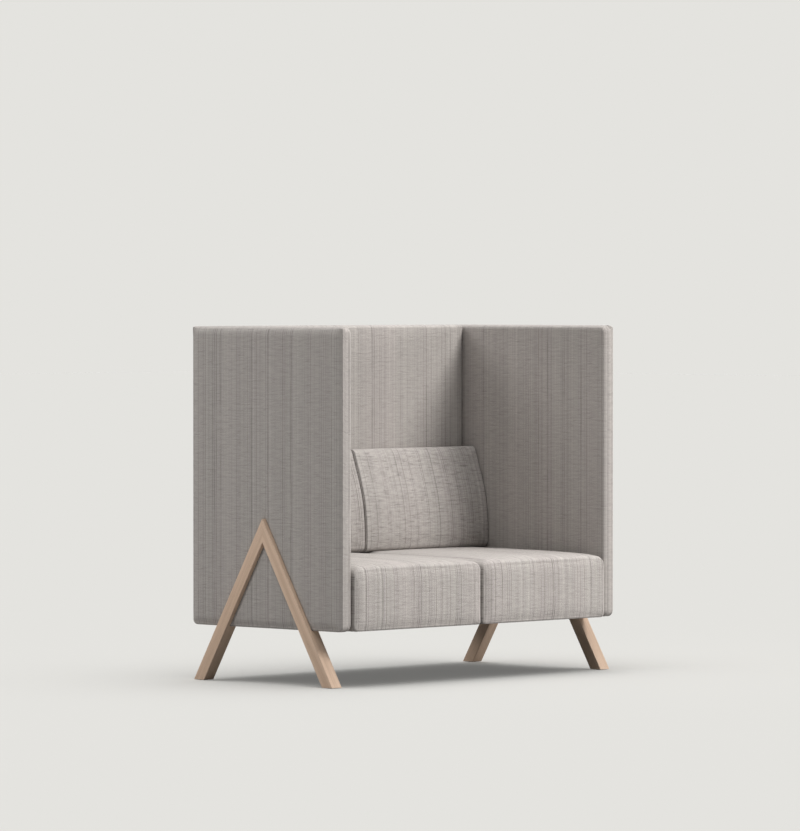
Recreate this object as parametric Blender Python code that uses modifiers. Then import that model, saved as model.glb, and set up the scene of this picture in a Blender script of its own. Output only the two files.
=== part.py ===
"""High-back sofa for two: three upholstered walls carried by a pair of solid wood A-frames.

Metres, +Z up. The origin is on the floor under the middle of the sofa, and the front faces -Y.
Left and right are as seen by someone who faces the front, so left is the -X side.
"""
import math

import bmesh
import bpy
from mathutils import Matrix, Vector

# Gap kept between pieces that touch
FIT = 0.0003

# Overall sizes: the width is measured over the walls, the legs stand proud of it
SOFA_WIDTH = 1.450
SOFA_DEPTH = 0.775
SOFA_HEIGHT = 1.296
WALL_UNDERSIDE = 0.202
SEAT_HEIGHT = 0.448

# Walls: a board core, a foam sheet on each face and a wadded fabric cover drawn over them
CORE_THICKNESS = 0.0220
WALL_FOAM = 0.0084
WALL_COVER = 0.0060
WALL_CORNER_RADIUS = 0.025
BACK_CORNER_RADIUS = 0.012
WALL_EDGE_RADIUS = 0.009
CLOSING_SLOT = 0.014
CORNER_SEGMENTS = 5
EDGE_SEGMENTS = 3

# A-frames: two mitred legs a side, thick below the wall and a leaf on its outer face
LEG_SPREAD = 0.716
APEX_HEIGHT = 0.602
APEX_SETBACK = 0.004
LEG_FACE = 0.0455
LEG_DEPTH = 0.050
LEAF_DEPTH = 0.017
LEG_ARRIS = 0.0020
APEX_BLUNT = 0.0050
TONGUE_THICKNESS = 0.005
TONGUE_REACH = 0.015
TONGUE_MARGIN = 0.008
GLIDE_RADIUS = 0.015
GLIDE_THICKNESS = 0.005
GLIDE_STANDOFF = 0.002
GLIDE_CHAMFER = 0.0008

# Seats: a box of boards with a deck, foam over the top and front, and a wadded cover open below
SEAT_SPLIT = 0.003
SEAT_WALL_GAP = 0.0015
SEAT_SETBACK = 0.003
SEAT_CROWN = 0.008
SEAT_NOSE_DROP = 0.006
SEAT_DRAW_IN = 0.003
SEAT_ROUNDING = 0.034
SEAT_COVER = 0.012
SEAT_FRONT_FOAM = 0.022
SEAT_NOSE_RADIUS = 0.022
BOARD_THICKNESS = 0.018
BOARD_HEIGHT = 0.110
DECK_THICKNESS = 0.012
VENT_RADIUS = 0.020
VENT_ROWS = 2
VENT_COLUMNS = 3
DUST_CLOTH = 0.0015

# Back cushions: wedges that stand on the seats and lean on the back wall
BACK_CUSHION_TOP = 0.830
BACK_CUSHION_FOOT = 0.132
BACK_CUSHION_HEAD = 0.062
BACK_CROWN = 0.018
BACK_SIDE_CROWN = 0.008
BACK_DRAW_IN = 0.004
BACK_ROUNDING = 0.024
BACK_COVER = 0.012
ZIP_OPENING = 0.008

# Fasteners
BOLT_RADIUS = 0.004
BOLT_HEAD_RADIUS = 0.008
BOLT_HEAD = 0.005
BOLT_HEAD_CHAMFER = 0.001
BOLT_BITE = 0.011
BOLT_EDGE = 0.028
TIE_BOLT_INSET = 0.110
PIN_RADIUS = 0.005
PIN_BITE = 0.012
PIN_ABOVE_SEAT = 0.140
PIN_BELOW_TOP = 0.180
ROUND_SIDES = 12

# Places worked out from the sizes above
HALF_WIDTH = SOFA_WIDTH / 2
HALF_DEPTH = SOFA_DEPTH / 2
WALL_HEIGHT = SOFA_HEIGHT - WALL_UNDERSIDE
WALL_MIDDLE = (SOFA_HEIGHT + WALL_UNDERSIDE) / 2
WALL_THICKNESS = CORE_THICKNESS + 2 * (WALL_FOAM + WALL_COVER + 2 * FIT)
INNER_HALF = HALF_WIDTH - WALL_THICKNESS
BACK_FACE = HALF_DEPTH - WALL_THICKNESS
SEAT_FRONT = -HALF_DEPTH + SEAT_SETBACK
SEAT_REAR = BACK_FACE - SEAT_WALL_GAP
SEAT_WIDTH = INNER_HALF - SEAT_WALL_GAP - SEAT_SPLIT / 2
SEAT_CENTRE = (INNER_HALF - SEAT_WALL_GAP + SEAT_SPLIT / 2) / 2
CAVITY_WIDTH = SEAT_WIDTH - 2 * SEAT_COVER
CAVITY_FRONT = SEAT_FRONT + SEAT_COVER
CAVITY_REAR = SEAT_REAR - SEAT_COVER
CAVITY_TOP = SEAT_HEIGHT - SEAT_CROWN - SEAT_NOSE_DROP - SEAT_COVER
BOX_FRONT = CAVITY_FRONT + FIT + SEAT_FRONT_FOAM + FIT
BOX_REAR = CAVITY_REAR - FIT
BOX_HALF = CAVITY_WIDTH / 2 - FIT
BOX_LOW = WALL_UNDERSIDE + DUST_CLOTH + FIT
BOX_HIGH = BOX_LOW + BOARD_HEIGHT
DECK_TOP = BOX_HIGH + FIT + DECK_THICKNESS
LEG_SLOPE = LEG_SPREAD / 2 / APEX_HEIGHT
LEG_RUN = LEG_FACE * math.hypot(1.0, LEG_SLOPE)
LEG_OUTER = HALF_WIDTH + LEAF_DEPTH
LEG_INNER = LEG_OUTER - LEG_DEPTH

SIDES = (("left", -1), ("right", 1))
ENDS = (("front", -1), ("rear", 1))
YZ_PLANE = Matrix(((0, 0, 1, 0), (1, 0, 0, 0), (0, 1, 0, 0), (0, 0, 0, 1)))
QUARTER_TURN = math.pi / 2


# Scene, finishes and placing

for old in list(bpy.data.objects):
    bpy.data.objects.remove(old, do_unlink=True)

SOFA = bpy.data.collections.new("high_back_sofa")
CUTTERS = bpy.data.collections.new("cutters")
bpy.context.scene.collection.children.link(SOFA)
bpy.context.scene.collection.children.link(CUTTERS)
STAND = bpy.data.objects.new("sofa_origin", None)
SOFA.objects.link(STAND)


def finish(name, colour, roughness, metallic=0.0):
    """Plain Principled material."""
    material = bpy.data.materials.new(name)
    material.use_nodes = True
    shader = material.node_tree.nodes["Principled BSDF"]
    shader.inputs["Base Color"].default_value = (*colour, 1.0)
    shader.inputs["Roughness"].default_value = roughness
    shader.inputs["Metallic"].default_value = metallic
    return material


STRIPED_FABRIC = finish("striped_fabric", (0.40, 0.37, 0.355), 0.92)
PALE_FOAM = finish("pale_foam", (0.78, 0.74, 0.60), 0.95)
PLYWOOD = finish("plywood", (0.56, 0.40, 0.24), 0.70)
PALE_OAK = finish("pale_oak", (0.56, 0.37, 0.24), 0.50)
TONGUE_WOOD = finish("tongue_wood", (0.42, 0.27, 0.16), 0.65)
DARK_CLOTH = finish("dark_cloth", (0.03, 0.03, 0.03), 0.95)
GLIDE_PLASTIC = finish("glide_plastic", (0.05, 0.05, 0.05), 0.55)
ZINC_STEEL = finish("zinc_steel", (0.62, 0.62, 0.60), 0.35, 1.0)


def new_object(name, bm, collection, location, rotation):
    mesh = bpy.data.meshes.new(name)
    bm.to_mesh(mesh)
    bm.free()
    obj = bpy.data.objects.new(name, mesh)
    obj.location = location
    obj.rotation_euler = rotation
    collection.objects.link(obj)
    return obj


def part(name, bm, material, location=(0, 0, 0), rotation=(0, 0, 0)):
    obj = new_object(name, bm, SOFA, location, rotation)
    obj.parent = STAND
    obj.data.materials.append(material)
    return obj


def cutter(name, bm, location=(0, 0, 0), rotation=(0, 0, 0)):
    obj = new_object(name, bm, CUTTERS, location, rotation)
    obj.hide_render = True
    obj.display_type = "WIRE"
    return obj


def cut(obj, *tools):
    for tool in tools:
        modifier = obj.modifiers.new("cut_" + tool.name, "BOOLEAN")
        modifier.operation = "DIFFERENCE"
        modifier.solver = "EXACT"
        modifier.object = tool


# Basic shapes

def box(size):
    bm = bmesh.new()
    bmesh.ops.create_cube(bm, size=1.0, matrix=Matrix.Diagonal((*size, 1.0)))
    return bm


def block(name, low, high, material):
    """Straight-edged piece between two corners."""
    low = Vector(low)
    high = Vector(high)
    return part(name, box(high - low), material, (low + high) / 2)


def block_cutter(name, low, high):
    low = Vector(low)
    high = Vector(high)
    return cutter(name, box(high - low), (low + high) / 2)


def rods(radius, spans):
    """Straight round rods, each between two points on a line along X, Y or Z."""
    bm = bmesh.new()
    for start, end in spans:
        axis = Vector(end) - Vector(start)
        turn = Vector((0, 0, 1)).rotation_difference(axis).to_matrix().to_4x4()
        place = Matrix.Translation((Vector(start) + Vector(end)) / 2) @ turn
        bmesh.ops.create_cone(bm, cap_ends=True, segments=ROUND_SIDES, radius1=radius, radius2=radius,
                              depth=axis.length, matrix=place)
    return bm


def turned(name, profile, material, location, rotation=(0, 0, 0)):
    """Round piece from an (radius, height) profile that runs down its outer side."""
    bm = bmesh.new()
    points = [bm.verts.new((radius, 0.0, height)) for radius, height in profile]
    for upper, lower in zip(points, points[1:]):
        bm.edges.new((upper, lower))
    obj = part(name, bm, material, location, rotation)
    screw = obj.modifiers.new("turn", "SCREW")
    screw.steps = ROUND_SIDES
    screw.render_steps = ROUND_SIDES
    screw.use_merge_vertices = True
    screw.merge_threshold = 0.00001
    return obj


def outline(points, thickness):
    """Flat outline of (y, z) points with its thickness along X."""
    curve = bpy.data.curves.new("outline", "CURVE")
    curve.dimensions = "2D"
    curve.fill_mode = "BOTH"
    curve.extrude = thickness / 2
    spline = curve.splines.new("POLY")
    spline.points.add(len(points) - 1)
    for point, (y, z) in zip(spline.points, points):
        point.co = (y, z, 0.0, 1.0)
    spline.use_cyclic_u = True
    guide = bpy.data.objects.new("outline", curve)
    CUTTERS.objects.link(guide)
    mesh = bpy.data.meshes.new_from_object(guide.evaluated_get(bpy.context.evaluated_depsgraph_get()))
    bpy.data.objects.remove(guide, do_unlink=True)
    bm = bmesh.new()
    bm.from_mesh(mesh)
    bpy.data.meshes.remove(mesh)
    bmesh.ops.remove_doubles(bm, verts=bm.verts, dist=FIT / 10)
    bmesh.ops.recalc_face_normals(bm, faces=bm.faces)
    bm.transform(YZ_PLANE)
    return bm


def arc(centre, radius, start, end, steps):
    """Points on an arc from one angle to another, both included."""
    angles = [start + (end - start) * step / steps for step in range(steps + 1)]
    return [(centre[0] + radius * math.cos(a), centre[1] + radius * math.sin(a)) for a in angles]


def panel(width, thickness, height, corner_radius, edge_radius=0.0):
    """Upright panel with rounded corners, and rounded edges where an edge radius is given."""
    bm = box((width, thickness, height))
    corners = [e for e in bm.edges if e.verts[0].co.y * e.verts[1].co.y < 0]
    bmesh.ops.bevel(bm, geom=corners, offset=corner_radius, segments=CORNER_SEGMENTS, profile=0.5,
                    affect="EDGES")
    if edge_radius:
        rims = [e for e in bm.edges if e.verts[0].co.y * e.verts[1].co.y > 0]
        bmesh.ops.bevel(bm, geom=rims, offset=edge_radius, segments=EDGE_SEGMENTS, profile=0.5,
                        affect="EDGES")
    return bm


def cage(loops_x, loops_y, loops_z):
    """Box cage of quads, cut at each of the loop positions."""
    loops = (loops_x, loops_y, loops_z)
    low = Vector([line[0] for line in loops])
    high = Vector([line[-1] for line in loops])
    bm = box(high - low)
    bm.transform(Matrix.Translation((low + high) / 2))
    for axis, line in enumerate(loops):
        normal = Vector((0, 0, 0))
        normal[axis] = 1.0
        for position in line[1:-1]:
            everything = bm.verts[:] + bm.edges[:] + bm.faces[:]
            bmesh.ops.bisect_plane(bm, geom=everything, plane_co=normal * position, plane_no=normal)
    return bm


def soften(obj):
    """One round of subdivision turns a cage into a soft form."""
    modifier = obj.modifiers.new("soften", "SUBSURF")
    modifier.levels = 1
    modifier.render_levels = 1


def bump(share):
    """Crown curve: nothing at both ends, one in the middle."""
    return 1.0 - (2.0 * share - 1.0) ** 2


# Legs

def leg_line(end, height, inset):
    """Y on a leg at a height, measured in from its outer edge."""
    return APEX_SETBACK + end * ((APEX_HEIGHT - height) * LEG_SLOPE - inset)


def mitre_height(inset):
    return APEX_HEIGHT - (inset + FIT / 2) / LEG_SLOPE


def leg(name, side, end):
    """Sheared bar from the floor to the mitre, with eased long edges and a blunt tip."""
    bm = box((1.0, 1.0, 1.0))
    for vert in bm.verts:
        top = vert.co.z > 0
        outer = vert.co.y * end > 0
        inset = 0.0 if outer else LEG_RUN
        vert.co.x = side * (LEG_OUTER if vert.co.x * side > 0 else LEG_INNER)
        vert.co.y = APEX_SETBACK + end * FIT / 2 if top else leg_line(end, GLIDE_STANDOFF, inset)
        vert.co.z = mitre_height(inset) if top else GLIDE_STANDOFF
    tip = [e for e in bm.edges if min(v.co.z for v in e.verts) > mitre_height(LEG_RUN / 2)]
    bmesh.ops.bevel(bm, geom=tip, offset=APEX_BLUNT, segments=2, profile=0.5, affect="EDGES")
    grain = Vector((0.0, -end * LEG_SLOPE, 1.0)).normalized()
    along = [e for e in bm.edges if abs((e.verts[1].co - e.verts[0].co).normalized().dot(grain)) > 0.999]
    bmesh.ops.bevel(bm, geom=along, offset=LEG_ARRIS, segments=2, profile=0.5, affect="EDGES")
    return part(name, bm, PALE_OAK)


def make_frame(side_name, side, bolt_holes):
    """One A-frame: two shouldered legs, the loose tongue in their mitre and the glides."""
    wall_side = sorted((side * (HALF_WIDTH + FIT), side * (LEG_INNER - LEAF_DEPTH)))
    rebate = block_cutter(side_name + "_leg_rebate",
                          (wall_side[0], -LEG_SPREAD, WALL_UNDERSIDE - FIT),
                          (wall_side[1], LEG_SPREAD, APEX_HEIGHT + LEG_FACE))
    tongue_x = side * (HALF_WIDTH + FIT + LEG_OUTER) / 2
    tongue_low = mitre_height(LEG_RUN) + TONGUE_MARGIN
    tongue_high = APEX_HEIGHT - TONGUE_REACH / LEG_SLOPE - TONGUE_MARGIN
    tongue_half = Vector((TONGUE_THICKNESS, 2 * TONGUE_REACH, tongue_high - tongue_low)) / 2
    tongue_middle = Vector((tongue_x, APEX_SETBACK, (tongue_low + tongue_high) / 2))
    play = Vector((FIT, FIT, FIT))
    slot = block_cutter(side_name + "_tongue_slot", tongue_middle - tongue_half - play,
                        tongue_middle + tongue_half + play)
    block(side_name + "_leg_tongue", tongue_middle - tongue_half, tongue_middle + tongue_half, TONGUE_WOOD)
    for end_name, end in ENDS:
        name = side_name + "_" + end_name
        foot = (side * (LEG_OUTER + LEG_INNER) / 2, leg_line(end, GLIDE_STANDOFF, LEG_RUN / 2), 0.0)
        recess = cutter(name + "_glide_recess",
                        rods(GLIDE_RADIUS + FIT, [((0, 0, -GLIDE_THICKNESS), (0, 0, GLIDE_THICKNESS + FIT))]),
                        foot)
        cut(leg(name + "_leg", side, end), rebate, slot, recess, bolt_holes)
        turned(name + "_glide",
               [(0.0, GLIDE_THICKNESS), (GLIDE_RADIUS, GLIDE_THICKNESS), (GLIDE_RADIUS, GLIDE_CHAMFER),
                (GLIDE_RADIUS - GLIDE_CHAMFER, 0.0), (0.0, 0.0)],
               GLIDE_PLASTIC, foot)


# Fasteners

def bolt(name, start, length, rotation):
    """Flat-headed bolt whose shank runs from the start point, head on the near side."""
    profile = [(0.0, BOLT_HEAD), (BOLT_HEAD_RADIUS - BOLT_HEAD_CHAMFER, BOLT_HEAD),
               (BOLT_HEAD_RADIUS, BOLT_HEAD - BOLT_HEAD_CHAMFER), (BOLT_HEAD_RADIUS, 0.0),
               (BOLT_RADIUS, 0.0), (BOLT_RADIUS, -length), (0.0, -length)]
    turned(name, profile, ZINC_STEEL, start, rotation)


def bolt_hole_span(start, direction, length):
    """Start and end of the hole for a bolt, a little longer than its shank."""
    reach = Vector(direction)
    return Vector(start) - reach * FIT, Vector(start) + reach * (length + FIT)


def make_leg_bolts(side_name, side):
    """Two bolts a leg, from inside the seat box through the wall into the leaf."""
    head_x = SEAT_CENTRE + BOX_HALF - BOARD_THICKNESS - FIT
    length = HALF_WIDTH + FIT + BOLT_BITE - head_x
    spans = []
    for end_name, end in ENDS:
        for level_name, height in (("lower", BOX_LOW + BOLT_EDGE), ("upper", BOX_HIGH - BOLT_EDGE)):
            start = (side * head_x, leg_line(end, height, LEG_RUN / 2), height)
            bolt("_".join((side_name, end_name, "leg", level_name, "bolt")), start, length,
                 (0, -side * QUARTER_TURN, 0))
            spans.append(bolt_hole_span(start, (side, 0, 0), length))
    return cutter(side_name + "_leg_bolt_holes", rods(BOLT_RADIUS + FIT, spans))


def make_tie_bolts():
    """Two bolts that hold the seat boxes together side by side."""
    head_x = SEAT_CENTRE - BOX_HALF + BOARD_THICKNESS + FIT
    length = head_x + SEAT_CENTRE - BOX_HALF + BOLT_BITE
    spans = []
    height = (BOX_LOW + BOX_HIGH) / 2
    for end_name, y in (("front", BOX_FRONT + TIE_BOLT_INSET), ("rear", BOX_REAR - TIE_BOLT_INSET)):
        start = (-head_x, y, height)
        bolt(end_name + "_seat_tie_bolt", start, length, (0, -QUARTER_TURN, 0))
        spans.append(bolt_hole_span(start, (1, 0, 0), length))
    return cutter("tie_bolt_holes", rods(BOLT_RADIUS + FIT, spans))


def make_back_bolts():
    """One bolt from each seat box into the core of the back wall."""
    head_y = BOX_REAR - BOARD_THICKNESS - FIT
    length = BACK_FACE + WALL_COVER + WALL_FOAM + 2 * FIT + BOLT_BITE - head_y
    spans = []
    height = (BOX_LOW + BOX_HIGH) / 2
    for side_name, side in SIDES:
        start = (side * SEAT_CENTRE, head_y, height)
        bolt(side_name + "_back_wall_bolt", start, length, (QUARTER_TURN, 0, 0))
        spans.append(bolt_hole_span(start, (0, 1, 0), length))
    return cutter("back_bolt_holes", rods(BOLT_RADIUS + FIT, spans))


def make_corner_pins(side_name, side):
    """Two round pins that key the end of the back wall into a side wall."""
    into_side = WALL_COVER + WALL_FOAM + 2 * FIT + PIN_BITE
    into_back = WALL_COVER + 2 * FIT + PIN_BITE
    middle = HALF_DEPTH - WALL_THICKNESS / 2
    spans = []
    for level_name, height in (("lower", SEAT_HEIGHT + PIN_ABOVE_SEAT), ("upper", SOFA_HEIGHT - PIN_BELOW_TOP)):
        inner = Vector((side * (INNER_HALF - into_back), middle, height))
        outer = Vector((side * (INNER_HALF + into_side), middle, height))
        part(side_name + "_corner_" + level_name + "_pin", rods(PIN_RADIUS, [(inner, outer)]), ZINC_STEEL)
        spare = Vector((side * FIT, 0, 0))
        spans.append((inner - spare, outer + spare))
    return cutter(side_name + "_corner_pin_holes", rods(PIN_RADIUS + FIT, spans))


# Walls

def make_wall(name, face_names, centre, width, corner_radius, turn, holes):
    """Core, two foam sheets and the cover round them, centred on a point and turned about Z."""
    rotation = (0, 0, turn)
    across = Matrix.Rotation(turn, 3, "Z") @ Vector((0, 1, 0))
    inner_width = width - 2 * WALL_COVER
    inner_height = WALL_HEIGHT - 2 * WALL_COVER
    inner_thickness = WALL_THICKNESS - 2 * WALL_COVER
    inner_radius = max(corner_radius - WALL_COVER, 2 * FIT)
    hollow = cutter(name + "_hollow", panel(inner_width, inner_thickness, inner_height, inner_radius),
                    centre, rotation)
    slot_size = (inner_width - 2 * corner_radius, CLOSING_SLOT, 4 * WALL_COVER)
    slot = cutter(name + "_slot", box(slot_size), centre - Vector((0, 0, WALL_HEIGHT / 2)), rotation)
    cover = part(name + "_cover", panel(width, WALL_THICKNESS, WALL_HEIGHT, corner_radius, WALL_EDGE_RADIUS),
                 STRIPED_FABRIC, centre, rotation)
    cut(cover, hollow, slot, *holes)

    layers = [(name + "_core", CORE_THICKNESS, 0.0, PLYWOOD)]
    foam_offset = CORE_THICKNESS / 2 + FIT + WALL_FOAM / 2
    for face_name, direction in face_names:
        layers.append((name + "_" + face_name + "_foam", WALL_FOAM, direction * foam_offset, PALE_FOAM))
    for layer_name, thickness, offset, material in layers:
        sheet = panel(inner_width - 2 * FIT, thickness, inner_height - 2 * FIT, inner_radius - FIT)
        cut(part(layer_name, sheet, material, centre + across * offset, rotation), *holes)


# Seats

def seat_form(vert, low, high):
    """Push a cage point of a seat: crowned top that falls to the nose, sides drawn in."""
    share_x = (vert.x + SEAT_WIDTH / 2) / SEAT_WIDTH
    share_y = (vert.y - SEAT_FRONT) / (SEAT_REAR - SEAT_FRONT)
    share_z = (vert.z - low) / (high - low)
    nose = max(0.0, 1.0 - 2.0 * share_y) ** 2
    vert.z -= share_z * (SEAT_CROWN * (1.0 - bump(share_x)) + SEAT_NOSE_DROP * nose)
    side = 2.0 * share_x - 1.0
    vert.x -= math.copysign(SEAT_DRAW_IN * bump(share_y) * bump(share_z), side) if abs(side) > 0.999 else 0.0


def make_seat(side_name, side, holes):
    """Box of boards, deck, foam, cover and dust cloth of one seat."""
    name = side_name + "_seat"
    centre = Vector((side * SEAT_CENTRE, 0, 0))
    half = SEAT_WIDTH / 2
    low = WALL_UNDERSIDE
    bm = cage((-half, -half + SEAT_ROUNDING, -half / 3, half / 3, half - SEAT_ROUNDING, half),
              (SEAT_FRONT, SEAT_FRONT + SEAT_ROUNDING, (2 * SEAT_FRONT + SEAT_REAR) / 3,
               (SEAT_FRONT + 2 * SEAT_REAR) / 3, SEAT_REAR - SEAT_ROUNDING, SEAT_REAR),
              (low, (low + SEAT_HEIGHT) / 2, SEAT_HEIGHT - SEAT_ROUNDING, SEAT_HEIGHT))
    crease = bm.edges.layers.float.new("crease_edge")
    for edge in bm.edges:
        edge[crease] = 1.0 if max(v.co.z for v in edge.verts) < low + FIT else 0.0
    for vert in bm.verts:
        seat_form(vert.co, low, SEAT_HEIGHT)
    cover = part(name + "_cover", bm, STRIPED_FABRIC, centre)
    soften(cover)

    nose = arc((CAVITY_FRONT + SEAT_NOSE_RADIUS, CAVITY_TOP - SEAT_NOSE_RADIUS), SEAT_NOSE_RADIUS,
               math.pi, QUARTER_TURN, CORNER_SEGMENTS)
    below = low - SEAT_COVER
    hollow = outline([(CAVITY_FRONT, below), *nose, (CAVITY_REAR, CAVITY_TOP), (CAVITY_REAR, below)],
                     CAVITY_WIDTH)
    cut(cover, cutter(name + "_hollow", hollow, centre), *holes)

    foam_nose = arc((CAVITY_FRONT + SEAT_NOSE_RADIUS, CAVITY_TOP - SEAT_NOSE_RADIUS), SEAT_NOSE_RADIUS - FIT,
                    math.pi, QUARTER_TURN, CORNER_SEGMENTS)
    foam_low = BOX_FRONT - FIT
    foam = outline([(CAVITY_FRONT + FIT, BOX_LOW), *foam_nose, (BOX_REAR, CAVITY_TOP - FIT),
                    (BOX_REAR, DECK_TOP + FIT), (foam_low, DECK_TOP + FIT), (foam_low, BOX_LOW)], 2 * BOX_HALF)
    part(name + "_foam", foam, PALE_FOAM, centre)

    def plank(piece, x_low, x_high, y_low, y_high):
        ends = sorted((side * x_low, side * x_high))
        cut(block(name + piece, centre + Vector((ends[0], y_low, BOX_LOW)),
                  centre + Vector((ends[1], y_high, BOX_HIGH)), PLYWOOD), *holes)

    plank("_front_board", -BOX_HALF, BOX_HALF, BOX_FRONT, BOX_FRONT + BOARD_THICKNESS)
    plank("_rear_board", -BOX_HALF, BOX_HALF, BOX_REAR - BOARD_THICKNESS, BOX_REAR)
    between = (BOX_FRONT + BOARD_THICKNESS + FIT, BOX_REAR - BOARD_THICKNESS - FIT)
    plank("_wall_board", BOX_HALF - BOARD_THICKNESS, BOX_HALF, *between)
    plank("_middle_board", -BOX_HALF, -BOX_HALF + BOARD_THICKNESS, *between)

    deck = block(name + "_deck", centre + Vector((-BOX_HALF, BOX_FRONT, BOX_HIGH + FIT)),
                 centre + Vector((BOX_HALF, BOX_REAR, DECK_TOP)), PLYWOOD)
    vents = []
    for row in range(VENT_ROWS):
        for column in range(VENT_COLUMNS):
            x = BOX_HALF * (2 * (column + 1) / (VENT_COLUMNS + 1) - 1)
            y = BOX_FRONT + (BOX_REAR - BOX_FRONT) * (row + 1) / (VENT_ROWS + 1)
            vents.append(((x, y, BOX_HIGH - DECK_THICKNESS), (x, y, DECK_TOP + DECK_THICKNESS)))
    cut(deck, cutter(name + "_vents", rods(VENT_RADIUS, vents), centre))
    block(name + "_dust_cloth", centre + Vector((-BOX_HALF, CAVITY_FRONT + FIT, low)),
          centre + Vector((BOX_HALF, BOX_REAR, low + DUST_CLOTH)), DARK_CLOTH)


# Back cushions

def wedge_depth(share):
    """Thickness of a back cushion at a share of its height: a taper with a crown."""
    taper = BACK_CUSHION_FOOT + (BACK_CUSHION_HEAD - BACK_CUSHION_FOOT) * share
    return taper + BACK_CROWN * bump(share)


def wedge_outline(inset, low, high, back):
    """Outline of the hollow, or of the foam in it, kept an inset inside the ends of the cushion."""
    front = []
    for step in range(CORNER_SEGMENTS + 1):
        z = low + inset + (high - low - 2 * inset) * step / CORNER_SEGMENTS
        share = (z - low) / (high - low)
        front.append((back - wedge_depth(share) + BACK_SIDE_CROWN * bump(share) + inset, z))
    return [(back - inset, low + inset), *front, (back - inset, high - inset)]


def make_back_cushion(side_name, side):
    """Foam wedge in a crowned cover with a zip opening below."""
    name = side_name + "_back"
    centre = Vector((side * SEAT_CENTRE, 0, 0))
    half = SEAT_WIDTH / 2
    low = SEAT_HEIGHT + FIT
    high = BACK_CUSHION_TOP
    back = BACK_FACE - FIT
    third = (high - low) / 3
    bm = cage((-half, -half + BACK_ROUNDING, 0.0, half - BACK_ROUNDING, half),
              (0.0, 0.3, 0.7, 1.0),
              (low, low + BACK_ROUNDING, low + third, high - third, high - BACK_ROUNDING, high))
    for vert in bm.verts:
        share_x = (vert.co.x + half) / SEAT_WIDTH
        share_z = (vert.co.z - low) / (high - low)
        from_back = 1.0 - vert.co.y
        depth = wedge_depth(share_z) + BACK_SIDE_CROWN * (bump(share_x) - 1.0) * bump(share_z)
        vert.co.x *= 1.0 - 2.0 * BACK_DRAW_IN / SEAT_WIDTH * bump(share_z) * bump(vert.co.y)
        vert.co.y = back - depth * from_back
    cover = part(name + "_cover", bm, STRIPED_FABRIC, centre)
    soften(cover)
    hollow_width = SEAT_WIDTH - 2 * BACK_COVER
    hollow = outline(wedge_outline(BACK_COVER, low, high, back), hollow_width)
    zip_size = (hollow_width / 2, ZIP_OPENING, 3 * BACK_COVER)
    zip_place = centre + Vector((0, back - BACK_CUSHION_FOOT / 2, low))
    cut(cover, cutter(name + "_hollow", hollow, centre), cutter(name + "_zip", box(zip_size), zip_place))
    foam = outline(wedge_outline(BACK_COVER + FIT, low, high, back), hollow_width - 2 * FIT)
    part(name + "_foam", foam, PALE_FOAM, centre)


# The sofa

tie_bolt_holes = make_tie_bolts()
back_bolt_holes = make_back_bolts()
corner_pin_holes = []
for wall_side, sign in SIDES:
    leg_bolt_holes = make_leg_bolts(wall_side, sign)
    pin_holes = make_corner_pins(wall_side, sign)
    corner_pin_holes.append(pin_holes)
    make_frame(wall_side, sign, leg_bolt_holes)
    wall_centre = Vector((sign * (HALF_WIDTH - WALL_THICKNESS / 2), 0, WALL_MIDDLE))
    make_wall(wall_side + "_wall", (("inner", sign), ("outer", -sign)), wall_centre, SOFA_DEPTH,
              WALL_CORNER_RADIUS, QUARTER_TURN, [leg_bolt_holes, pin_holes])
    make_seat(wall_side, sign, [leg_bolt_holes, tie_bolt_holes, back_bolt_holes])
    make_back_cushion(wall_side, sign)
back_centre = Vector((0, HALF_DEPTH - WALL_THICKNESS / 2, WALL_MIDDLE))
make_wall("back_wall", (("front", -1), ("rear", 1)), back_centre, 2 * (INNER_HALF - FIT), BACK_CORNER_RADIUS,
          0.0, [back_bolt_holes, *corner_pin_holes])
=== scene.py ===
import math

import bmesh
import bpy
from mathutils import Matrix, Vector


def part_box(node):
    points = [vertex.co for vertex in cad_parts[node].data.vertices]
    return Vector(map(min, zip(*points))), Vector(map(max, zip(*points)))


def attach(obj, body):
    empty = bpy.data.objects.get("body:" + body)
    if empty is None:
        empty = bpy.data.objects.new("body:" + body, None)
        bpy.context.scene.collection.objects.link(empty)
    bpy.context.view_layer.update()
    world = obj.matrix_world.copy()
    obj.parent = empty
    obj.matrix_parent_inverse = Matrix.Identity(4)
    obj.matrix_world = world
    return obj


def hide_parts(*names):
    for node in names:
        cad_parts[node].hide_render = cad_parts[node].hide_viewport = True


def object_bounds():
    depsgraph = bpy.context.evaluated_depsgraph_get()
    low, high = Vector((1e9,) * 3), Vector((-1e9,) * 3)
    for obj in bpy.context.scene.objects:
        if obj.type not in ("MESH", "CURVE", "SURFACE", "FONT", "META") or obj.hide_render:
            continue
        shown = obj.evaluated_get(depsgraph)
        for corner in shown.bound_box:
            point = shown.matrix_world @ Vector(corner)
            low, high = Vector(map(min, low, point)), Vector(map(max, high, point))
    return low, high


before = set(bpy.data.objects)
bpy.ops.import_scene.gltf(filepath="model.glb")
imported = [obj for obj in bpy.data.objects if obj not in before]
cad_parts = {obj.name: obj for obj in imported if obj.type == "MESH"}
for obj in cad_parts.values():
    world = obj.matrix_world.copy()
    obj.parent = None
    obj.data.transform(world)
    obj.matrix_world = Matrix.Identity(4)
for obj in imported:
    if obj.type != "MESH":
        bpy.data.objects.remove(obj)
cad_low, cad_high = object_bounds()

SIDES = (("left", -1), ("right", 1))
QUARTER = math.pi / 2
TINY = 1e-9
SURFACE = (("Color", "NodeSocketColor"), ("Roughness", "NodeSocketFloat"), ("Height", "NodeSocketFloat"))

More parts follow.
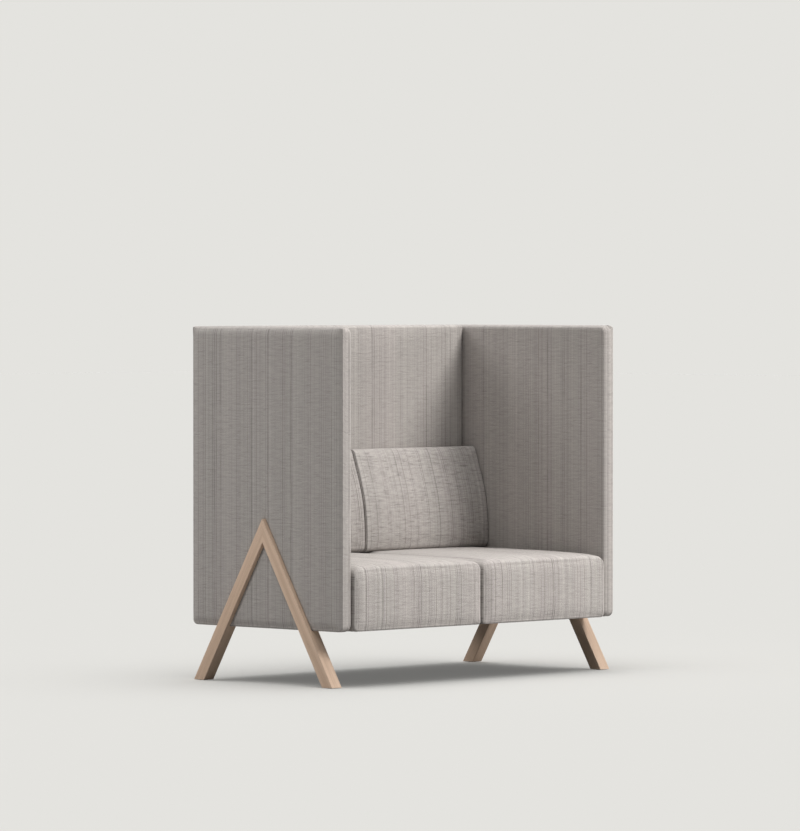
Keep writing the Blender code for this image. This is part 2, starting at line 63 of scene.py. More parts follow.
# Camera, fitted to the edges of the walls, the seats and the feet
CAMERA_PLACE = (-15.3673, -14.8366, 1.4183)
CAMERA_AZIMUTH = 45.9546
CAMERA_PITCH = 1.2224
CAMERA_LENS = 249.36
CAMERA_SENSOR = 36.0
CAMERA_FAR = 120.0

# Studio
BACKGROUND = (0.7758, 0.7682, 0.7379)
SKY_LOW = 0.05
SKY_TOP = 4.05
SKY_TOP_POWER = 6.0
LAMP_COLOUR = (1.0, 0.975, 0.955)
LAMP_AIM = (0.0, 0.0, 0.6)

# Lamps: name, watts, place, width, and whether the pieces with these endings are left out or alone lit
KEY_PLACE = (3.30, -7.14, 6.30)
KEY_SIZE = 3.4
LAMPS = (("key", 795.0, KEY_PLACE, KEY_SIZE, "EXCLUDE", ("floor", "_leg")),
         ("leg_key", 525.0, KEY_PLACE, KEY_SIZE, "INCLUDE", ("_leg",)),
         ("left_fill", 135.0, (-5.00, 3.40, 3.90), 3.0, "EXCLUDE", ("floor",)),
         ("right_fill", 1200.0, (12.00, -3.20, 2.00), 4.8, "EXCLUDE", ("floor", "_leg")))

# Floor: what it shows, what it throws back and how that fades below the sofa
FLOOR_SIZE = 60.0
FLOOR_BOUNCE = (0.47, 0.466, 0.458)
FLOOR_NEAR = 0.80
FLOOR_REACH = 0.4
FLOOR_GLOW = 0.19

# Cloth; a bump is its distance and strength, a sheen its weight and roughness
CLOTH_LIGHT = (0.398, 0.374, 0.353)
CLOTH_BLUSH = (0.395, 0.366, 0.348)
CLOTH_DARK = (0.140, 0.129, 0.121)
CLOTH_PALE = (0.62, 0.585, 0.555)
# painted shadow: a dark colour mixed into the cloth along its seams in place of contact shade
SEAM_SHADOW_COLOUR = (0.045, 0.041, 0.040)
CLOTH_YARN = 0.0021
CLOTH_SWAY = 0.0005
CLOTH_ROUGHNESS = (0.92, 0.82)
CLOTH_BUMP = (0.0005, 0.6)
CLOTH_SPECULAR = 0.15
CLOTH_SHEEN = (0.12, 0.5)
WALL_PATTERN = {"Stripe_Strength": 0.80, "Slub_Strength": 0.95}
SEAT_PATTERN = {"Stripe_Strength": 1.08, "Slub_Strength": 1.1}
BACK_PATTERN = {"Stripe_Strength": 0.85, "Slub_Strength": 2.2}
# how strongly the painted seam shadow darkens the back cushions' cloth
BACK_SEAM_PAINTED_SHADOW = 0.85

# Stripes of the cloth: count in a metre, seed, half width, soft edge and the share of dark threads
STRIPE_COUNT = 105.0
STRIPE_SEED = 7.0
STRIPE_HALF = (0.13, 0.25)
STRIPE_EDGE = (-0.04, 0.06)
STRIPE_DARK = 0.55
FINE_COUNT = 340.0
FINE_SEED = 19.0
FINE_EDGE = (0.15, 0.50)

# Noise of the cloth: scale across and along, seed, detail, roughness, the range taken and the range given
CLOTH_NOISE = {
    "sway": (40.0, 9.0, 51.0, 2.0, 0.5, 0.2, 0.8, -1.0, 1.0),
    "tone": (7.0, 0.5, 3.0, 2.0, 0.5, 0.36, 0.64, 0.0, 1.0),
    "band": (30.0, 0.3, 11.0, 1.0, 0.5, 0.34, 0.66, -1.0, 1.0),
    "group": (20.0, 0.2, 17.0, 1.0, 0.5, 0.40, 0.60, 0.55, 1.0),
    "broken": (120.0, 6.0, 29.0, 1.0, 0.5, 0.32, 0.60, 0.45, 1.0),
    "slub": (20.0, 120.0, 31.0, 2.0, 0.6, 0.30, 0.70, -1.0, 1.0),
    "slub_line": (22.0, 150.0, 37.0, 1.0, 0.5, 0.30, 0.42, 1.0, 0.0),
    "heather": (650.0, 650.0, 41.0, 1.0, 0.5, 0.25, 0.75, -1.0, 1.0),
}
CLOTH_LINES = (("dark_line", 0.75, "Stripe Strength", "Dark"), ("pale_line", 0.30, "Stripe Strength", "Pale"),
               ("fine_line", 0.16, "Stripe Strength", "Dark"), ("slub_line", 0.16, "Slub Strength", "Dark"))
CLOTH_LEVELS = (("band", 0.012), ("strong_slub", 0.050), ("heather", 0.045), ("weave", 0.05))
CLOTH_RELIEF = (("weave", 0.30), ("slub", 0.55), ("slub_line", -0.7), ("dark_line", -0.6), ("heather", 0.25))

# Wood; a row of its noise reads as one of the cloth's does
OAK_LIGHT = (0.705, 0.530, 0.402)
OAK_STREAK = (0.520, 0.366, 0.260)
OAK_PORE = (0.28, 0.19, 0.13)
WOOD_RING = 0.004
WOOD_RING_SKEW = 0.4
WOOD_RING_POWER = 2.5
WOOD_WANDER = (14.0, 1.4, 9.0, 2.0, 0.5)
WOOD_WANDER_SIZE = 0.03
WOOD_NOISE = {
    "streak": (42.0, 1.8, 2.0, 3.0, 0.55, 0.34, 0.68, 0.0, 1.0),
    "fibre": (420.0, 9.0, 21.0, 2.0, 0.6, 0.30, 0.70, -1.0, 1.0),
    "pore": (900.0, 28.0, 33.0, 1.0, 0.5, 0.66, 0.76, 0.0, 1.0),
}
WOOD_STREAK_SHARE = 0.45
WOOD_RING_SHARE = 0.35
WOOD_PORE_SHARE = 0.35
WOOD_FIBRE_LEVEL = 0.045
WOOD_RELIEF = (0.35, 0.25)
WOOD_ROUGHNESS = (0.60, 0.48)
WOOD_BUMP = (0.0004, 0.35)
WOOD_SPECULAR = 0.2
PLYWOOD_RING = 0.0014
TONGUE_RING = 0.002
TONGUE_SHIFT = (0.3, 0.0, 0.0)
LEG_GRAIN_SHIFT = (0.37, 0.21, 0.9)

# Plain stuffs: two colours, mottles in a metre, roughness and, for metal, 1
FOAM_STUFF = ((0.72, 0.66, 0.50), (0.80, 0.75, 0.60), 900.0, 0.92)
STEEL_STUFF = ((0.55, 0.56, 0.58), (0.68, 0.69, 0.70), 500.0, 0.38, 1.0)
PLASTIC_STUFF = ((0.020, 0.020, 0.021), (0.034, 0.034, 0.036), 700.0, 0.45)
LINING_STUFF = ((0.022, 0.022, 0.024), (0.038, 0.038, 0.041), 800.0, 0.9)
MOTTLE_GRAIN = (3.0, 0.6)
MOTTLE_RANGE = (0.3, 0.7)
MOTTLE_ROUGHNESS = 0.06
MOTTLE_BUMP = (0.0002, 0.4)

# Wall edges, rounded in the plane of the face and along the thickness: low side, high side, top and foot
WALL_OUTER_EDGES = ((0.0045, 0.0060), (0.0110, 0.0110), (0.0150, 0.0220), (0.0080, 0.0080))
WALL_INNER_EDGES = ((0.0085, 0.0340), (0.0085, 0.0340), (0.0145, 0.0270), (0.0160, 0.0160))
BACK_FRONT_EDGES = ((0.0200, 0.0200), (0.0200, 0.0200), (0.0120, 0.0260), (0.0160, 0.0160))
BACK_REAR_EDGES = ((0.0060, 0.0060), (0.0060, 0.0060), (0.0150, 0.0220), (0.0080, 0.0080))
WALL_OUTER_SEAM = QUARTER * 0.30
WALL_INNER_SEAM = QUARTER * 0.70

# Corners of the side walls: low front, low rear, top rear and top front
WALL_OUTER_CORNERS = (0.022, 0.022, 0.006, 0.009)
WALL_INNER_CORNERS = (0.025, 0.022, 0.010, 0.0235)
BACK_WALL_CORNER = 0.012
CORNER_EASE = 0.045
CORNER_SHARE = 0.9

# Walls
WALL_DIP = 0.0016
WALL_DIP_REACH = 0.018
WALL_STEP = 0.015
WALL_BAND_STEPS = 4
WALL_MAP = 3.7
WALL_BAND_MAP = 0.31
BACK_WALL_MAP = 9.1
WALL_CROWN = 0.0050
WALL_CROWN_RISE = 0.026
LEG_GROOVE_REACH = 0.0055
LEG_FACE = 0.0455
LEG_ROOM = 0.0008
LEG_GROOVE_CUTS = (0.0008, 0.0028, 0.0055, 0.0095, 0.0150, 0.0230)
LEG_GROOVE_MERGE = 1e-5

# Seams
ARC_STEPS = 6
SEAM_DEPTH = 0.0013
SEAM_WIDTH = 0.0022
SEAM_CLEAR = 1.7

# Cushions; a pair gives the wall's side and the middle, a map its start and its step between the sides
CUSHION_STEP = 0.011
SEAT_SEAM = QUARTER * 0.45
BACK_SEAM = QUARTER * 0.62
SEAT_MAP = (5.3, 2.0)
SEAT_SHRINK = 0.0012
SEAT_SIDE_SHRINKS = (0.0022, 0.0036)
SEAT_FORWARD = 0.0090
SEAT_SWELL = 0.006
SEAT_FRONT_ROUND = 0.014
SEAT_SIDE_ROUNDS = (0.0045, 0.0075)
SEAT_SIDE_ROOMS = (0.0020, 0.0004)
SEAT_UNDER_ROUND = 0.007
SEAT_TOP_CORNERS = (0.034, 0.030)
SEAT_LOW_CORNERS = (0.0150, 0.0130)
SEAT_FALL = (0.3, 1.0)
SEAT_NOSE_DROP = 0.010
SEAT_NOSE_REACH = 1.6
SEAT_END_DROP = 0.004
SEAT_FREE = 0.015
SEAT_RISE = 0.004
SEAT_RECESS = 0.0026
SEAT_RECESS_EDGE = (0.007, 0.0125)
BACK_MAP = (13.9, 3.0)
BACK_RISE = 0.0015
BACK_FREE = 0.008
BACK_SWELL = 0.005
BACK_TOP_ROUND = 0.015
BACK_FOOT_ROUND = 0.016
BACK_END_ROUND = 0.0055
BACK_HEAD = 0.055
BACK_FOOT_SET = 0.0044
BACK_BELLY = 0.022
BACK_EAR_FOOT = 0.005
BACK_EAR_HEAD = 0.012
BACK_EAR_POWER = 1.5
BACK_FRONT_SHARE = 1.5
SWELL_QUALITY = 4
SWELL_MASS = 0.3
SWELL_STRETCH = 15.0
SWELL_SHEAR = 5.0
SWELL_BEND = 0.5
SWELL_PRESSURE = 4.0
SWELL_FRAMES = 20
SWELL_SINK = 0.0006
CLEAR = 0.0004

# Linings under the seats
LINING_STEP = 0.012
LINING_THICKNESS = 0.0007
LINING_SAG = 0.0006
LINING_PUCKER = 0.00035
LINING_PUCKER_REACH = 0.030
STAPLE_SIZE = (0.0100, 0.0013, 0.0007)
STAPLE_BEVEL = 0.0003
STAPLE_INSET = 0.009
STAPLE_PITCH = 0.045
STAPLE_WOBBLE = 0.10
STAPLE_SEED = 5


# Small tools

def mesh_object(name, bm, *materials):
    """Object at the origin from a bmesh, smooth shaded, with outward faces."""
    bmesh.ops.recalc_face_normals(bm, faces=bm.faces)
    mesh = bpy.data.meshes.new(name)
    bm.to_mesh(mesh)
    bm.free()
    for material in materials:
        mesh.materials.append(material)
    mesh.polygons.foreach_set("use_smooth", [True] * len(mesh.polygons))
    made = bpy.data.objects.new(name, mesh)
    bpy.context.scene.collection.objects.link(made)
    return made


def evaluated_mesh(piece):
    """Plain mesh of an object with its modifiers."""
    graph = bpy.context.evaluated_depsgraph_get()
    graph.update()
    return bpy.data.meshes.new_from_object(piece.evaluated_get(graph), depsgraph=graph)


def flatten(piece):
    """Apply every modifier of a piece to its mesh."""
    finished = evaluated_mesh(piece)
    old = piece.data
    piece.modifiers.clear()
    piece.data = finished
    finished.name = piece.name
    bpy.data.meshes.remove(old)


def smooth_step(low, high, value):
    """0 below low, 1 above high and an easy curve between."""
    share = min(1.0, max(0.0, (value - low) / (high - low)))
    return share * share * (3.0 - 2.0 * share)


def bump(share):
    """0 at both ends of a span and 1 in its middle."""
    return 4.0 * share * (1.0 - share)


# Node tools

def shader_group(name, inputs, outputs):
    """Empty shader node group with named sockets; returns the tree and its two end nodes."""
    tree = bpy.data.node_groups.new(name, "ShaderNodeTree")
    for socket, kind, value in inputs:
        made = tree.interface.new_socket(socket, in_out="INPUT", socket_type=kind)
        if value is not None:
            made.default_value = value
    for socket, kind in outputs:
        tree.interface.new_socket(socket, in_out="OUTPUT", socket_type=kind)
    return tree, tree.nodes.new("NodeGroupInput"), tree.nodes.new("NodeGroupOutput")


def put(tree, socket, value):
    """Link a socket or set a constant."""
    if isinstance(value, bpy.types.NodeSocket):
        tree.links.new(value, socket)
    else:
        socket.default_value = value


def maths(tree, operation, *values):
    """Math node; returns its value."""
    node = tree.nodes.new("ShaderNodeMath")
    node.operation = operation
    for socket, value in zip(node.inputs, values):
        put(tree, socket, value)
    return node.outputs[0]


def spread(tree, value, low, high, out_low, out_high):
    """Map Range node with clamped, eased ends; returns its value."""
    node = tree.nodes.new("ShaderNodeMapRange")
    node.interpolation_type = "SMOOTHSTEP"
    for socket, entry in zip(node.inputs, (value, low, high, out_low, out_high)):
        put(tree, socket, entry)
    return node.outputs[0]


def vector_of(tree, x, y, z):
    """Combine XYZ node; returns its vector."""
    node = tree.nodes.new("ShaderNodeCombineXYZ")
    for socket, value in zip(node.inputs, (x, y, z)):
        put(tree, socket, value)
    return node.outputs[0]


def parts_of(tree, vector):
    """Separate XYZ node; returns its three values."""
    node = tree.nodes.new("ShaderNodeSeparateXYZ")
    put(tree, node.inputs[0], vector)
    return node.outputs


def vector_length(tree, vector):
    """Length of a vector."""
    node = tree.nodes.new("ShaderNodeVectorMath")
    node.operation = "LENGTH"
    put(tree, node.inputs[0], vector)
    return node.outputs["Value"]


def speckle(tree, vector, detail, roughness):
    """Noise node at scale 1; returns its value from 0 to 1."""
    node = tree.nodes.new("ShaderNodeTexNoise")
    node.noise_dimensions = "3D"
    put(tree, node.inputs["Vector"], vector)
    node.inputs["Scale"].default_value = 1.0
    node.inputs["Detail"].default_value = detail
    node.inputs["Roughness"].default_value = roughness
    return node.outputs["Fac"]


def blend_colours(tree, share, first, second, kind="MIX"):
    """Colour mix node; returns its colour."""
    node = tree.nodes.new("ShaderNodeMix")
    node.data_type = "RGBA"
    node.blend_type = kind
    for name, value in (("Factor_Float", share), ("A_Color", first), ("B_Color", second)):
        socket = next(s for s in node.inputs if s.identifier == name)
        put(tree, socket, value)
    return next(s for s in node.outputs if s.identifier == "Result_Color")


def rgba(colour):
    """Colour with full alpha."""
    return (*colour, 1.0)


def grey_of(tree, value):
    """Grey colour of a value."""
    node = tree.nodes.new("ShaderNodeCombineColor")
    for socket in node.inputs:
        tree.links.new(value, socket)
    return node.outputs[0]


def weighted(tree, marks, shares, total):
    """Sum of named values times their shares, from a starting total."""
    for name, share in shares:
        total = maths(tree, "MULTIPLY_ADD", marks[name], share, total)
    return total


def seen_rays(tree):
    """1 for rays from the camera, from gloss and through glass, 0 for those that only carry light."""
    path = tree.nodes.new("ShaderNodeLightPath")
    mirrored = maths(tree, "MAXIMUM", path.outputs["Is Glossy Ray"], path.outputs["Is Transmission Ray"])
    return maths(tree, "MAXIMUM", path.outputs["Is Camera Ray"], mirrored)


def stripe_cells(tree, place, count, seed):
    """Stripes of uneven spacing: returns the distance to the nearest one and two random values of it."""
    node = tree.nodes.new("ShaderNodeTexVoronoi")
    node.voronoi_dimensions = "1D"
    node.inputs["Scale"].default_value = 1.0
    put(tree, node.inputs["W"], maths(tree, "ADD", maths(tree, "MULTIPLY", place, count), seed))
    split = tree.nodes.new("ShaderNodeSeparateColor")
    tree.links.new(node.outputs["Color"], split.inputs[0])
    return node.outputs["Distance"], split.outputs[0], split.outputs[1]


# Cloth and wood

def cloth_group():
    """Woven cloth on a map in metres: uneven warp stripes across U, slubs along U and the weave itself."""
    tree, start, end = shader_group(
        "striped_cloth",
        [("Cloth", "NodeSocketVector", None), ("Light", "NodeSocketColor", rgba(CLOTH_LIGHT)),
         ("Blush", "NodeSocketColor", rgba(CLOTH_BLUSH)), ("Dark", "NodeSocketColor", rgba(CLOTH_DARK)),
         ("Pale", "NodeSocketColor", rgba(CLOTH_PALE)),
         ("Stripe Strength", "NodeSocketFloat", 1.0), ("Slub Strength", "NodeSocketFloat", 1.0)], SURFACE)
    u, v, _ = parts_of(tree, start.outputs["Cloth"])
    marks = {}
    for name, (across, along, seed, detail, roughness, *span) in CLOTH_NOISE.items():
        place = vector_of(tree, maths(tree, "MULTIPLY", u, across), maths(tree, "MULTIPLY", v, along), seed)
        marks[name] = spread(tree, speckle(tree, place, detail, roughness), *span)

    swayed = maths(tree, "ADD", u, maths(tree, "MULTIPLY", marks["sway"], CLOTH_SWAY))
    away, thread, width = stripe_cells(tree, swayed, STRIPE_COUNT, STRIPE_SEED)
    beside = maths(tree, "SUBTRACT", away, spread(tree, width, 0.0, 1.0, *STRIPE_HALF))
    line = maths(tree, "MULTIPLY", spread(tree, beside, *STRIPE_EDGE, 1.0, 0.0), marks["broken"])
    grouped = maths(tree, "MULTIPLY", line, marks["group"])
    marks["dark_line"] = maths(tree, "MULTIPLY", grouped, spread(tree, thread, 0.0, STRIPE_DARK, 1.0, 0.0))
    marks["pale_line"] = maths(tree, "MULTIPLY", line, spread(tree, thread, STRIPE_DARK, 1.0, 0.0, 1.0))
    _, fine_thread, _ = stripe_cells(tree, swayed, FINE_COUNT, FINE_SEED)
    marks["fine_line"] = spread(tree, fine_thread, *FINE_EDGE, 1.0, 0.0)
    yarns = [maths(tree, "SINE", maths(tree, "MULTIPLY", way, 2.0 * math.pi / CLOTH_YARN)) for way in (u, v)]
    marks["weave"] = maths(tree, "MULTIPLY", *yarns)
    marks["strong_slub"] = maths(tree, "MULTIPLY", marks["slub"], start.outputs["Slub Strength"])

    colour = blend_colours(tree, marks["tone"], start.outputs["Light"], start.outputs["Blush"])
    for name, share, strength, tint in CLOTH_LINES:
        part = maths(tree, "MULTIPLY", maths(tree, "MULTIPLY", marks[name], share), start.outputs[strength])
        colour = blend_colours(tree, part, colour, start.outputs[tint])
    grey = grey_of(tree, weighted(tree, marks, CLOTH_LEVELS, 1.0))
    put(tree, end.inputs["Color"], blend_colours(tree, 1.0, colour, grey, "MULTIPLY"))
    put(tree, end.inputs["Roughness"], spread(tree, marks["slub"], -1.0, 1.0, *CLOTH_ROUGHNESS))
    put(tree, end.inputs["Height"], weighted(tree, marks, CLOTH_RELIEF, 0.0))
    return tree


def grain_group():
    """Straight wood grain along Z, in metres: soft growth streaks, narrow rings and short pores."""
    tree, start, end = shader_group(
        "straight_grain",
        [("Place", "NodeSocketVector", None), ("Light", "NodeSocketColor", rgba(OAK_LIGHT)),
         ("Streak", "NodeSocketColor", rgba(OAK_STREAK)), ("Pore", "NodeSocketColor", rgba(OAK_PORE)),
         ("Ring Width", "NodeSocketFloat", WOOD_RING)], SURFACE)
    x, y, z = parts_of(tree, start.outputs["Place"])

    def lines(across, along, seed, detail, roughness):
        place = vector_of(tree, maths(tree, "ADD", maths(tree, "MULTIPLY", x, across), seed),
                          maths(tree, "MULTIPLY", y, across), maths(tree, "MULTIPLY", z, along))
        return speckle(tree, place, detail, roughness)

    streak, fibre, pore = [spread(tree, lines(*row[:5]), *row[5:]) for row in WOOD_NOISE.values()]
    wander = maths(tree, "MULTIPLY", lines(*WOOD_WANDER), WOOD_WANDER_SIZE)
    across = maths(tree, "ADD", maths(tree, "ADD", y, maths(tree, "MULTIPLY", x, WOOD_RING_SKEW)), wander)
    ring = maths(tree, "FRACT", maths(tree, "DIVIDE", across, start.outputs["Ring Width"]))
    ring = maths(tree, "POWER", ring, WOOD_RING_POWER)
    share = maths(tree, "ADD", maths(tree, "MULTIPLY", streak, WOOD_STREAK_SHARE),
                  maths(tree, "MULTIPLY", ring, WOOD_RING_SHARE))
    colour = blend_colours(tree, share, start.outputs["Light"], start.outputs["Streak"])
    pores = maths(tree, "MULTIPLY", pore, WOOD_PORE_SHARE)
    colour = blend_colours(tree, pores, colour, start.outputs["Pore"])
    grey = grey_of(tree, maths(tree, "ADD", maths(tree, "MULTIPLY", fibre, WOOD_FIBRE_LEVEL), 1.0))
    put(tree, end.inputs["Color"], blend_colours(tree, 1.0, colour, grey, "MULTIPLY"))
    put(tree, end.inputs["Roughness"], spread(tree, fibre, -1.0, 1.0, *WOOD_ROUGHNESS))
    height = maths(tree, "SUBTRACT", maths(tree, "MULTIPLY", fibre, WOOD_RELIEF[0]), pore)
    ring_height = maths(tree, "MULTIPLY", ring, WOOD_RELIEF[1])
    put(tree, end.inputs["Height"], maths(tree, "SUBTRACT", height, ring_height))
    return tree


def new_material(name):
    """Material with nodes; returns it, its node tree and its Principled shader."""
    made = bpy.data.materials.new(name)
    made.use_nodes = True
    tree = made.node_tree
    shader = next(n for n in tree.nodes if n.type == "BSDF_PRINCIPLED")
    return made, tree, shader


def use_group(tree, group, vector_name, vector, **values):
    """Place a node group in a material's tree and feed it."""
    node = tree.nodes.new("ShaderNodeGroup")
    node.node_tree = group
    put(tree, node.inputs[vector_name], vector)
    for socket, value in values.items():
        node.inputs[socket.replace("_", " ")].default_value = value
    return node


def add_relief(tree, shader, height, distance, strength):
    """Join a height to the shader as bump."""
    relief = tree.nodes.new("ShaderNodeBump")
    relief.inputs["Strength"].default_value = strength
    relief.inputs["Distance"].default_value = distance
    tree.links.new(height, relief.inputs["Height"])
    tree.links.new(relief.outputs["Normal"], shader.inputs["Normal"])


def cloth_material(name, group, pattern, seam_painted_shadow=None):
    """Cloth whose pattern follows the piece's own cloth map, with a painted shadow where its seams fold in.
    """
    made, tree, shader = new_material(name)
    place = tree.nodes.new("ShaderNodeUVMap")
    place.uv_map = "cloth"
    node = use_group(tree, group, "Cloth", place.outputs["UV"], **pattern)
    colour = node.outputs["Color"]
    # painted shade: the seam ring's held attribute mixes a dark shadow colour into the cloth
    if seam_painted_shadow:
        fold = tree.nodes.new("ShaderNodeAttribute")
        fold.attribute_name = "held"
        shade = maths(tree, "MULTIPLY", fold.outputs["Fac"], seam_painted_shadow)
        colour = blend_colours(tree, shade, colour, rgba(SEAM_SHADOW_COLOUR))
    tree.links.new(colour, shader.inputs["Base Color"])
    tree.links.new(node.outputs["Roughness"], shader.inputs["Roughness"])
    add_relief(tree, shader, node.outputs["Height"], *CLOTH_BUMP)
    shader.inputs["Specular IOR Level"].default_value = CLOTH_SPECULAR
    shader.inputs["Sheen Weight"].default_value = CLOTH_SHEEN[0]
    shader.inputs["Sheen Roughness"].default_value = CLOTH_SHEEN[1]
    return made


def object_place(tree, turn=(0, 0, 0), shift=(0, 0, 0)):
    """Object coordinates, shifted and turned; returns the vector."""
    place = tree.nodes.new("ShaderNodeTexCoord")
    mapping = tree.nodes.new("ShaderNodeMapping")
    mapping.inputs["Location"].default_value = shift
    mapping.inputs["Rotation"].default_value = turn
    tree.links.new(place.outputs["Object"], mapping.inputs["Vector"])
    return mapping.outputs["Vector"]


def wood_material(name, group, turn, shift, **values):
    """Wood with its grain along the turned Z axis."""
    made, tree, shader = new_material(name)
    node = use_group(tree, group, "Place", object_place(tree, turn, shift), **values)
    tree.links.new(node.outputs["Color"], shader.inputs["Base Color"])
    tree.links.new(node.outputs["Roughness"], shader.inputs["Roughness"])
    add_relief(tree, shader, node.outputs["Height"], *WOOD_BUMP)
    shader.inputs["Specular IOR Level"].default_value = WOOD_SPECULAR
    return made


def speckled_material(name, first, second, scale, roughness, metallic=0.0):
    """Plain stuff with a fine mottle in colour, roughness and relief."""
    made, tree, shader = new_material(name)
    scaled = tree.nodes.new("ShaderNodeVectorMath")
    scaled.operation = "MULTIPLY"
    put(tree, scaled.inputs[0], object_place(tree))
    scaled.inputs[1].default_value = (scale,) * 3
    mottle = spread(tree, speckle(tree, scaled.outputs[0], *MOTTLE_GRAIN), *MOTTLE_RANGE, 0.0, 1.0)
    rough = spread(tree, mottle, 0.0, 1.0, roughness - MOTTLE_ROUGHNESS, roughness + MOTTLE_ROUGHNESS)
    tree.links.new(blend_colours(tree, mottle, rgba(first), rgba(second)), shader.inputs["Base Color"])
    tree.links.new(rough, shader.inputs["Roughness"])
    add_relief(tree, shader, mottle, *MOTTLE_BUMP)
    shader.inputs["Metallic"].default_value = metallic
    return made


# Outlines and upholstered forms

def rounded_outline(corners, step, cells=None):
    """Closed outline, anticlockwise, round four corners (a, b, radius).

    Returns its points, their outward normals and the cells of each side.
    """
    points, normals = [], []
    count = len(corners)
    tangents = []
    for i in range(count):
        here = Vector(corners[i][:2])
        before = (here - Vector(corners[i - 1][:2])).normalized()
        after = (Vector(corners[(i + 1) % count][:2]) - here).normalized()
        turn = math.atan2(before.cross(after), before.dot(after))
        reach = corners[i][2] * math.tan(turn / 2)
        tangents.append((here - before * reach, here + after * reach, before, after, turn))
    lengths = [(tangents[(i + 1) % count][0] - tangents[i][1]).length for i in range(count)]
    cells = cells or [max(1, round(max(lengths[i], lengths[i - 2]) / step)) for i in range(count)]
    for i in range(count):
        entry, leave, before, after, turn = tangents[i]
        radius = corners[i][2]
        normal = Vector((before.y, -before.x))
        centre = entry - normal * radius
        for k in range(ARC_STEPS + 1):
            angle = turn * k / ARC_STEPS
            spoke = Vector((normal.x * math.cos(angle) - normal.y * math.sin(angle),
                            normal.x * math.sin(angle) + normal.y * math.cos(angle)))
            points.append(centre + spoke * radius)
            normals.append(spoke)
        following = tangents[(i + 1) % count][0]
        side = Vector((after.y, -after.x))
        for k in range(1, cells[i]):
            points.append(leave.lerp(following, k / cells[i]))
            normals.append(side)
    return points, normals, cells


def round_turns(radius, seam_angle):
    """Turns of an edge rounding from its face to its band, with a tight trio at the seam."""
    half_seam = SEAM_WIDTH / radius
    plain = [QUARTER * k / ARC_STEPS for k in range(ARC_STEPS + 1)]
    kept = [t for t in plain if abs(t - seam_angle) > SEAM_CLEAR * half_seam]
    return sorted(kept + [seam_angle - half_seam, seam_angle, seam_angle + half_seam])


def face_grid(bm, border, cells, depth_at, solid):
    """Fill a face inside its border loop with a grid of quads drawn between the four sides."""
    count = len(border)
    across = cells[0] + ARC_STEPS
    along = cells[1] + ARC_STEPS
    first = ARC_STEPS // 2
    loop = [border[(first + i) % count] for i in range(count)]
    low = loop[:across + 1]
    right = loop[across:across + along + 1]
    high = loop[across + along:2 * across + along + 1][::-1]
    left = [loop[0]] + loop[:2 * across + along - 1:-1]
    rows = [[vert for vert, _ in low]]
    for j in range(1, along):
        t = j / along
        row = [left[j][0]]
        for i in range(1, across):
            s = i / across
            place = (low[i][1] * (1 - t) + high[i][1] * t + left[j][1] * (1 - s) + right[j][1] * s
                     - low[0][1] * (1 - s) * (1 - t) - low[-1][1] * s * (1 - t)
                     - high[0][1] * (1 - s) * t - high[-1][1] * s * t)
            row.append(bm.verts.new(solid(place, depth_at(place))))
        row.append(right[j][0])
        rows.append(row)
    rows.append([vert for vert, _ in high])
    return [bm.faces.new((rows[j][i], rows[j][i + 1], rows[j + 1][i + 1], rows[j + 1][i]))
            for j in range(along) for i in range(across)]


def edge_rings(end, sign, solid, dip):
    """Rings round one end of a cover, from its face to its band, with the face's border and its depth."""
    place, (points, normals, _), roundings, seam_turn = end
    border = [p - n * r for p, n, (r, _) in zip(points, normals, roundings)]
    low = Vector((min(p.x for p in border), min(p.y for p in border)))
    high = Vector((max(p.x for p in border), max(p.y for p in border)))

    def depth_at(spot):
        edge = min(spot.x - low.x, high.x - spot.x, spot.y - low.y, high.y - spot.y)
        return place + sign * dip(max(0.0, edge))

    rings = []
    for turn in round_turns(sum(r + d for r, d in roundings) / (2 * len(points)), seam_turn):
        deeper = SEAM_DEPTH if turn == seam_turn else 0.0
        kind = "face" if turn < seam_turn else ("seam" if turn == seam_turn else "band")
        fade = dip(0.0) * max(0.0, 1.0 - turn / seam_turn)
        ring = []
        for p, n, (r, d) in zip(points, normals, roundings):
            flat = p - n * (r - (r - deeper) * math.sin(turn))
            ring.append(solid(flat, place + sign * (d - (d - deeper) * math.cos(turn) + fade)))
        rings.append((kind, ring))
    return rings, border, depth_at


